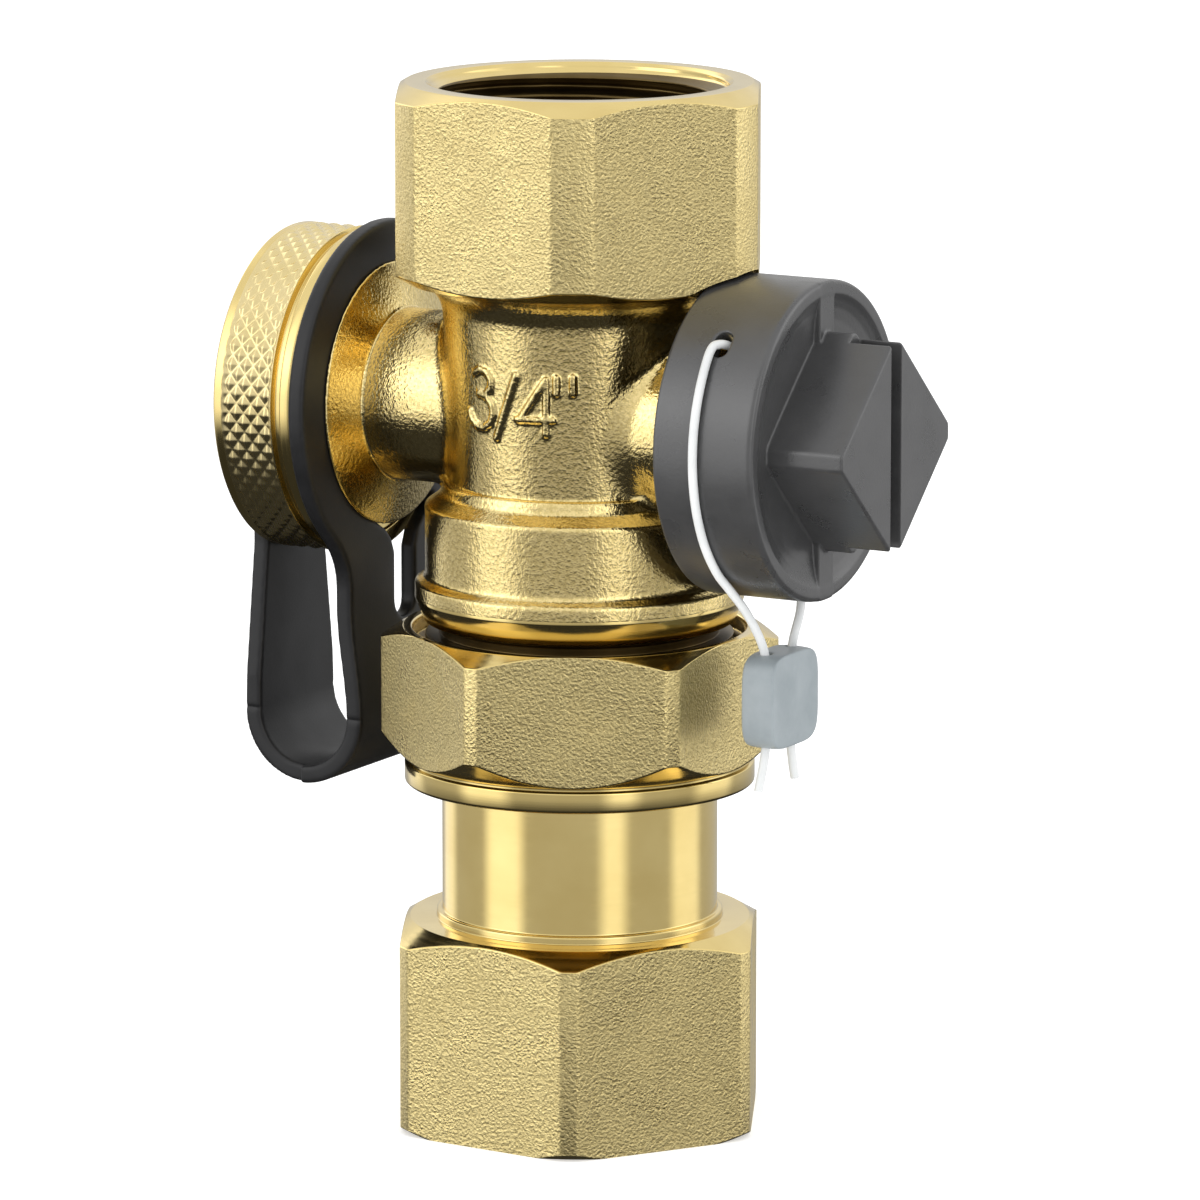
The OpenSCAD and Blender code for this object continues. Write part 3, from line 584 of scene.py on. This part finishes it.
def knob():
    h = 0.12
    low, high = (14.8, -14.6, STEM_Z - 14.6), (32.1, 14.6, STEM_Z + 14.6)
    x, y, z = lattice(low, high, h)
    z = z - STEM_Z
    rho = np.hypot(y, z)
    shape = np.broadcast(x, rho).shape
    dish = [(12.5, KNOB_FACE - 0.22), (11.8, KNOB_FACE - 0.42), (10.8, KNOB_FACE - 0.58),
            (9.5, KNOB_FACE - 0.68), (8, KNOB_FACE - KNOB_DISH)]
    outline = rounded([(-5, KNOB_PLATE_BACK), (KNOB_RIM_R, KNOB_PLATE_BACK, 0.6),
                       (KNOB_RIM_R, KNOB_BACK, 0.15), (KNOB_R, KNOB_BACK, 0.3),
                       (KNOB_R, KNOB_FACE, 1.25), (13.05, KNOB_FACE, 0.15), *dish,
                       (-5, KNOB_FACE - KNOB_DISH)], 0.0, 8)
    shell = look_up(outline_table(outline, (-6, 14), (16, 27)), np.broadcast_to(rho, shape),
                    np.broadcast_to(x, shape))
    rib = soft_max(abs(y) - RIB_HALF, np.maximum(x - KNOB_FACE, 22.6 - x), 0.12)
    rib = soft_max(rib, rho - KNOB_R + 0.02, 0.25)
    solid = soft_min(shell, rib, 0.1)
    # diamond grip
    slope = math.hypot(1 / GRIP_CORNER_Y, 1 / GRIP_CORNER_Z)
    side = (abs(y) / GRIP_CORNER_Y + abs(z) / GRIP_CORNER_Z - 1) / slope
    side = soft_max(side, abs(y) - GRIP_HALF_Y, 0.2)
    side = soft_max(side, abs(z) - GRIP_HALF_Z, 0.15)
    grip = soft_max(soft_max(side, x - GRIP_END, 0.25), 23.0 - x, 0.1)
    solid = soft_min(solid, grip, 0.2)
    hub = np.maximum(rho - KNOB_HUB_R, np.maximum(KNOB_HUB_BACK - x, x - 23))
    solid = soft_min(solid, hub, 0.3)
    cut = np.maximum(abs(y) - GRIP_SLOT_HALF, GRIP_SLOT_FLOOR - x)
    solid = soft_max(solid, -cut, 0.1)
    square = np.maximum(np.maximum(abs(y), abs(z)) - KNOB_SQUARE, x - KNOB_SQUARE_END)
    solid = np.maximum(solid, -square)
    for angle, slot_x, half, wide in WIRE_SLOTS:
        ca, sa = math.cos(math.radians(angle)), math.sin(math.radians(angle))
        t = -y * sa + z * ca
        out = y * ca + z * sa
        over = np.maximum(abs(t) - half, 0)
        slot = np.maximum(np.hypot(over, x - slot_x) - wide, 8 - out)
        solid = soft_max(solid, -slot, 0.1)
    return surface("knob_body", solid, low, h, 0)


# ---------------------------------------------------------------- strap
STRAP_T = 1.6
COLLAR_X, COLLAR_R, COLLAR_HOLE_R, COLLAR_LEG_HALF = 19.45, 15.7, 11.35, 7.5
PIVOT_EYE_R, PIVOT_HOLE_R = 7.2, 1.95
LOOP_IN, LOOP_OUT = 18.5, 31.2
LOOP_R = (LOOP_OUT - LOOP_IN) / 2
SLIT_Y, SLIT_HALF = 2.3, 1.7
LOOP_X, LOOP_Z = (LOOP_OUT + LOOP_IN) / 2, 29.4 + LOOP_R


def strap():
    h = 0.2
    low, high = (-31.8, -16.4, 28.8), (-17.8, 16.4, 81.2)
    x, y, z = lattice(low, high, h)
    shape = np.broadcast(x, y, z).shape
    u = -x
    mid_r = LOOP_R - STRAP_T / 2
    ring = np.abs(np.hypot(u - LOOP_X, z - LOOP_Z) - mid_r) - STRAP_T / 2
    ring = np.maximum(ring, z - LOOP_Z)
    a = np.clip((z - LOOP_Z) / (46.0 - LOOP_Z), 0, 1)
    a = a * a * (3 - 2 * a)
    centre = (LOOP_IN + STRAP_T / 2) * (1 - a) + (COLLAR_X + STRAP_T / 2) * a
    leg_in = np.maximum(np.abs(u - centre) - STRAP_T / 2, LOOP_Z - z)
    leg_out = np.maximum(np.abs(u - (LOOP_OUT - STRAP_T / 2)) - STRAP_T / 2, LOOP_Z - z)
    zz = z - DRAIN_Z
    rho = np.hypot(y, zz)
    # the half that goes round the drain's neck
    plate = rho - COLLAR_R
    leg = np.maximum(np.abs(y) - COLLAR_LEG_HALF, zz)
    inner = soft_min(plate, leg, 3.2)
    hole = COLLAR_HOLE_R - rho
    inner = soft_max(inner, hole, 0.2)
    # the slit that lets the collar open over the neck, with its rounded lips
    off = np.abs(y - SLIT_Y)
    end = -21.0 + SLIT_HALF
    gap = np.where(zz < end, np.hypot(off, zz - end) - SLIT_HALF, off - SLIT_HALF)
    gap = np.maximum(gap, zz + 10.4)
    half = np.interp(zz, (-14.8, -13.4, -12.4, -11.4), (SLIT_HALF, 2.3, 3.4, 5.2)).astype(np.float32)
    lips = np.maximum((off - half) * 0.75, np.abs(zz + 12.6) - 2.2)
    inner = soft_max(inner, -np.minimum(gap, lips), 0.2)
    # the half that goes round the rivet on the cap
    width = 5.1 + 1.5 * np.clip((-14 - zz) / 12, 0, 1) + 0.3 * np.clip((-26 - zz) / 12, 0, 1)
    outer = np.minimum(rho - PIVOT_EYE_R, np.maximum(np.abs(y) - width, zz))
    outer = soft_max(outer, PIVOT_HOLE_R - rho, 0.2)
    side_in = np.where(u < LOOP_X, np.minimum(ring, leg_in), 9.0)
    side_out = np.where(u >= LOOP_X, np.minimum(ring, leg_out), 9.0)
    round_w = np.broadcast_to(inner, shape)
    one = soft_max(round_w, side_in, 0.35)
    two = soft_max(np.broadcast_to(outer, shape), side_out, 0.35)
    return surface("strap_band", np.minimum(one, two), low, h, 1)


# ---------------------------------------------------------------- seal and wire
WIRE_D = 0.8


def round_stem(x, r, angle):
    """A point at x, at radius r and an angle about the stem's axis."""
    return x, r * math.cos(math.radians(angle)), STEM_Z + r * math.sin(math.radians(angle))


# tail, seal, up round the skirt, in at the slot, behind the skirt, out below, seal and tail
ROUTE = [(20.8, -4.9, 32.9), (21.1, -4.3, 36), (21.2, -4.2, 38.5), (21.2, -4.2, 41), (21.2, -4.2, 43.5),
         (21, -4.6, 46), (20.2, -6, 49), (19.6, -8.1, 51.4)]
ROUTE += [round_stem(19.4, KNOB_R + 0.47, a) for a in range(226, 141, -14)]
ROUTE += [round_stem(19.7, 14.3, 137.5), round_stem(20.3, 13.1, 135), round_stem(21, 11.8, 137),
          round_stem(21.5, 10.7, 144)]
ROUTE += [round_stem(21.5, 10.2, a) for a in range(156, 237, 16)]
ROUTE += [round_stem(21.4, 10.6, 252), round_stem(21.3, 11.6, 268), (21.3, 1.7, 51.6), (21.4, 1.95, 50.4),
          (21.6, 1.4, 48.2), (21.4, 0.5, 45.8), (21.2, 0.2, 43.5), (21.2, 0.2, 41), (21.2, 0.2, 38.5),
          (21.3, 0.3, 36), (21.5, 0.7, 33.2)]
SEAL_POS = (21.4, -2.0, 41.0)
SEAL_HALF, SEAL_HALF_T, SEAL_SQUARENESS = 4.35, 1.6, 4.5
SEAL_HOLE_R, SEAL_HOLE_X, SEAL_HOLE_Y = 0.43, 0.2, 2.2


def smooth_route(route, n):
    p = np.array([route[0], *route, route[-1]], float)
    out = []
    for i in range(1, len(p) - 2):
        for k in range(n):
            t = k / n
            out.append(0.5 * (2 * p[i] + (p[i + 1] - p[i - 1]) * t
                              + (2 * p[i - 1] - 5 * p[i] + 4 * p[i + 1] - p[i + 2]) * t * t
                              + (3 * p[i] - p[i - 1] - 3 * p[i + 1] + p[i + 2]) * t**3))
    out.append(p[-1])
    return np.array(out)


def seal_wire():
    path = smooth_route(ROUTE, 6)
    curve = bpy.data.curves.new("wire_line", "CURVE")
    curve.dimensions = "3D"
    curve.bevel_depth = WIRE_D / 2 * MM
    curve.bevel_resolution = 5
    curve.use_fill_caps = True
    line = curve.splines.new("POLY")
    line.points.add(len(path) - 1)
    for point, p in zip(line.points, path):
        point.co = (*(p * MM), 1)
    line.use_smooth = True
    ob = bpy.data.objects.new("wire_line", curve)
    bpy.context.scene.collection.objects.link(ob)
    length = float(np.linalg.norm(np.diff(path, axis=0), axis=1).sum()) * MM
    return ob, length


def seal():
    h = 0.08
    cx, cy, cz = SEAL_POS
    low, high = (cx - 2.1, cy - 5.2, cz - 5.2), (cx + 2.1, cy + 5.2, cz + 5.2)
    x, y, z = lattice(low, high, h)
    x, y, z = x - cx, y - cy, z - cz
    squash = np.abs(y) ** SEAL_SQUARENESS + np.abs(z * 1.04) ** SEAL_SQUARENESS
    face = squash ** (1 / SEAL_SQUARENESS) - SEAL_HALF
    crown = 0.1 * np.clip(1 - (x / SEAL_HALF_T) ** 2, 0, 1)
    block = soft_max(face - crown, abs(x) - SEAL_HALF_T, 0.22)
    for side in (-SEAL_HOLE_Y, SEAL_HOLE_Y):
        from_hole = np.hypot(x + SEAL_HOLE_X, y - side)
        block = soft_max(block, SEAL_HOLE_R - from_hole, 0.15)
        block = soft_max(block, -(np.hypot(from_hole * 0.9, np.abs(z) - 4.9) - 0.8), 0.2)
    return surface("seal_body", block, low, h, 0)


# ---------------------------------------------------------------- small turned pieces
RIVET_R, RIVET_HEAD_R = 1.9, 3.4
WASHER_R, WASHER_HOLE_R, WASHER_IN, WASHER_OUT = 4.2, 1.92, 31.23, 31.67


def rivet():
    inner_face, inner_top, head, head_h = 27.1, 27.9, 31.7, 0.9
    dome = [(RIVET_HEAD_R * math.cos(a), head + head_h * math.sin(a))
            for a in np.linspace(0.15, math.pi / 2 - 0.06, 8)]
    pts = [(0.02, inner_face), (RIVET_HEAD_R, inner_face), (RIVET_HEAD_R, inner_top),
           (RIVET_R, inner_top), (RIVET_R, head), (RIVET_HEAD_R - 0.04, head),
           *dome, (0.02, head + head_h)]
    return turned("rivet_body", rounded(pts, 0.08), 96, axis="-x", z0=DRAIN_Z)


def washer():
    pts = rounded([(WASHER_HOLE_R, WASHER_IN), (WASHER_R, WASHER_IN), (WASHER_R, WASHER_OUT),
                   (WASHER_HOLE_R, WASHER_OUT)], 0.1)
    return turned("washer_body", pts, 96, axis="-x", z0=DRAIN_Z)


socket = finish_piece(upper_socket(), BLASTED, "valve", "cast_brass", "valve_body")
finish_piece(body_casting(), CAST, "valve", "cast_brass")
lower = finish_piece(body_lower(), POLISHED_Z, "valve", "turned_brass")
finish_piece(body_spigot(), POLISHED_X, "valve", "turned_brass")
nut = finish_piece(union_nut(), BLASTED, "union_nut", "turned_brass", "union_nut")
tail = finish_piece(union_tail(), BLASTED, "valve", "turned_brass", "union_tailpiece")
cap = finish_piece(drain_cap(), KNURLED, "cap", "turned_brass", "drain_cap")
grip = finish_piece(knob(), KNOB_PLASTIC, "knob", "black_plastic", "operating_knob")
finish_piece(rivet(), STEEL, "cap_pivot", "spring_steel", "strap_rivet")
finish_piece(washer(), STEEL, "cap_pivot", "spring_steel", "strap_washer")
seal_ob = finish_piece(seal(), SEAL_METAL, "knob", "seal_metal", "wire_seal")

band = paint(strap(), RUBBER)
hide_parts("retaining_strap")
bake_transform(band)

wire, wire_length = seal_wire()
finish_piece(wire, WIRE_WHITE, "knob", "white_wire", "seal_wire")

for node, mat in (("ball", CHROME), ("seat_ring_upper", PTFE), ("seat_ring_lower", PTFE),
                  ("seat_retainer", POLISHED_Z), ("drain_seat_ring", PTFE),
                  ("drain_seat_retainer", POLISHED_X), ("stem", POLISHED_X),
                  ("stem_thrust_washer", PTFE), ("stem_o_ring_inner", RUBBER),
                  ("stem_o_ring_outer", RUBBER), ("stem_washer", STEEL), ("stem_clip", STEEL),
                  ("cap_gasket", RUBBER), ("union_snap_ring", STEEL), ("union_gasket", RUBBER)):
    paint(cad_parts[node], mat)


# ---------------------------------------------------------------- two finishes on one piece
def second_finish(ob, mat, test, slot=1):
    """Gives the faces whose centre (mm) passes test another material."""
    ob.data.materials.append(mat)
    n = len(ob.data.polygons)
    centre = np.empty(n * 3)
    ob.data.polygons.foreach_get("center", centre)
    normal = np.empty(n * 3)
    ob.data.polygons.foreach_get("normal", normal)
    chosen = test(centre.reshape(-1, 3) / MM, normal.reshape(-1, 3))
    index = np.empty(n, np.int32)
    ob.data.polygons.foreach_get("material_index", index)
    ob.data.polygons.foreach_set("material_index", np.where(chosen, slot, index).astype(np.int32))
    ob.data.update()


def turned_faces(low, high, af, turn, below=-1.0):
    """A test for the faces of a hexagon that a lathe left bright: its bore, its ends and
    everything under the height below."""
    def test(c, n):
        r = np.hypot(c[:, 0], c[:, 1])
        flat = hex_radius(np.arctan2(c[:, 1], c[:, 0]), af, turn)
        ends = (c[:, 2] < low) | (c[:, 2] > high)
        chamfer = ends & ((np.abs(n[:, 2]) > 0.15) | (r < flat - 0.35))
        return (r < 14.1) | (c[:, 2] < below) | chamfer
    return test


second_finish(socket, POLISHED_Z,
              turned_faces(UPPER_HEX_Z + 1.3, TOTAL_H - 1.3, UPPER_AF, UPPER_TURN))
second_finish(tail, POLISHED_Z, turned_faces(0.7, LOWER_HEX_H - 1.5, LOWER_AF, LOWER_TURN))
second_finish(nut, POLISHED_Z, turned_faces(35.5, NUT_TOP - 1.3, NUT_AF, NUT_TURN, 33.4))
# painted shade on the nut's bore and inside thread
second_finish(nut, PAINTED_SHADE_BRASS,
              lambda c, n: (np.hypot(c[:, 0], c[:, 1]) < 14.95) & (c[:, 2] > 33.0), 2)
# painted shade on the union thread and its neck under the ridge, which are really bright brass
second_finish(lower, PAINTED_SHADE_BRASS, lambda c, n: c[:, 2] < 45.75)
second_finish(cap, POLISHED_X, lambda c, n: (c[:, 0] > -23.35) | (c[:, 0] < -28.4))
# painted shade on the socket's bore and inside thread
second_finish(socket, PAINTED_SHADE_BRASS,
              lambda c, n: (np.hypot(c[:, 0], c[:, 1]) < 13.5) & (c[:, 2] < TOTAL_H - 0.9), 2)

# ---------------------------------------------------------------- camera, floor and light
AZIMUTH, ELEVATION, DISTANCE = math.radians(29.0), math.radians(10.76), 732.3
TARGET = Vector((1.60, 0.88, 47.4))
away = Vector((math.sin(AZIMUTH) * math.cos(ELEVATION), -math.cos(AZIMUTH) * math.cos(ELEVATION),
               math.sin(ELEVATION)))
cam_data = bpy.data.cameras.new("camera")
cam_data.lens = 244.8
cam_data.sensor_width = 36.0
cam_data.clip_start = 0.01
cam_data.clip_end = 50.0
cam = bpy.data.objects.new("camera", cam_data)
bpy.context.scene.collection.objects.link(cam)
cam.location = (TARGET + away * DISTANCE) * MM
cam.rotation_euler = (-away).to_track_quat("-Z", "Y").to_euler()
bpy.context.scene.camera = cam

floor_mesh = bpy.data.meshes.new("floor")
floor_mesh.from_pydata([(-6, -6, 0), (6, -6, 0), (6, 6, 0), (-6, 6, 0)], [], [(0, 1, 2, 3)])
floor = bpy.data.objects.new("floor", floor_mesh)
bpy.context.scene.collection.objects.link(floor)
floor_mat, _, _, shader, _ = new_material("floor_pale")
shader.inputs["Base Color"].default_value = (0.86, 0.86, 0.86, 1)
shader.inputs["Roughness"].default_value = 0.9
shader.inputs["Specular IOR Level"].default_value = 0.1
shader.inputs["Emission Color"].default_value = (1, 1, 1, 1)
shader.inputs["Emission Strength"].default_value = 0.42
floor.data.materials.append(floor_mat)
floor.visible_glossy = False

# Softboxes standing round the valve: azimuth, half width and brightness. Azimuths are in
# degrees, 0 towards the camera and positive to its right.
SOFTBOXES = ((-140, 8, 1.3), (-66, 12, 1.5), (28, 5, 1.35), (100, 12, 1.25))
SOFTBOX_EDGE, AMBIENT = 10, 0.57
# The walls brighten with height up to SKY times, then give way to the ceiling, and to the
# underside below. Each has its level, and the upward part of a direction where it starts and
# where it is full.
CEILING, CEILING_FROM, CEILING_FULL = 1.0, 0.42, 0.87
UNDERSIDE, UNDERSIDE_FROM, UNDERSIDE_FULL = 0.04, -0.17, -0.42
SKY, SKY_FROM, SKY_FULL = 1.65, 0.0, 0.3


def studio_world():
    """A world that reads as white to the camera and as a studio to everything else."""
    world = bpy.data.worlds.new("studio")
    bpy.context.scene.world = world
    world.use_nodes = True
    nodes, links = world.node_tree.nodes, world.node_tree.links
    nodes.clear()
    out = nodes.new("ShaderNodeOutputWorld")
    coord = nodes.new("ShaderNodeTexCoord")
    split = nodes.new("ShaderNodeSeparateXYZ")
    links.new(coord.outputs["Generated"], split.inputs[0])

    def calc(operation, a, b=None):
        node = nodes.new("ShaderNodeMath")
        node.operation = operation
        for socket, value in zip(node.inputs, (a, b)):
            if isinstance(value, (int, float)):
                socket.default_value = value
            elif value is not None:
                links.new(value, socket)
        return node.outputs[0]

    def grey(value):
        return value, value, value

    turn = calc("ARCTAN2", split.outputs["Y"], split.outputs["X"])
    start = 180 + 90 - math.degrees(AZIMUTH)
    place = calc("FRACT", calc("ADD", calc("DIVIDE", turn, 2 * math.pi), start / 360))
    stops = [(-180, AMBIENT)]
    for azimuth, half, brightness in SOFTBOXES:
        stops += [(azimuth - half - SOFTBOX_EDGE, AMBIENT), (azimuth - half, brightness),
                  (azimuth + half, brightness), (azimuth + half + SOFTBOX_EDGE, AMBIENT)]
    stops.append((180, AMBIENT))
    walls = ramp(nodes, links, place, [((a + 180) / 360, grey(v / 2)) for a, v in stops])
    walls = calc("MULTIPLY", walls, 2.0)
    sky = to_range(nodes, links, split.outputs["Z"], 1, SKY, SKY_FROM, SKY_FULL)
    level = calc("MULTIPLY", walls, sky)
    for value, begin, full in ((CEILING, CEILING_FROM, CEILING_FULL),
                               (UNDERSIDE, UNDERSIDE_FROM, UNDERSIDE_FULL)):
        share = to_range(nodes, links, split.outputs["Z"], 0, 1, begin, full)
        level = calc("ADD", calc("MULTIPLY", level, calc("SUBTRACT", 1.0, share)),
                     calc("MULTIPLY", share, value))
    lit = nodes.new("ShaderNodeBackground")
    links.new(level, lit.inputs["Strength"])
    white = nodes.new("ShaderNodeBackground")
    white.inputs["Color"].default_value = (1, 1, 1, 1)
    lit.inputs["Color"].default_value = (1, 1, 1, 1)
    rays = nodes.new("ShaderNodeLightPath")
    mix = nodes.new("ShaderNodeMixShader")
    links.new(rays.outputs["Is Camera Ray"], mix.inputs[0])
    links.new(lit.outputs[0], mix.inputs[1])
    links.new(white.outputs[0], mix.inputs[2])
    links.new(mix.outputs[0], out.inputs[0])


studio_world()

bpy.context.scene.view_settings.view_transform = "Standard"
bpy.context.scene.view_settings.look = "None"
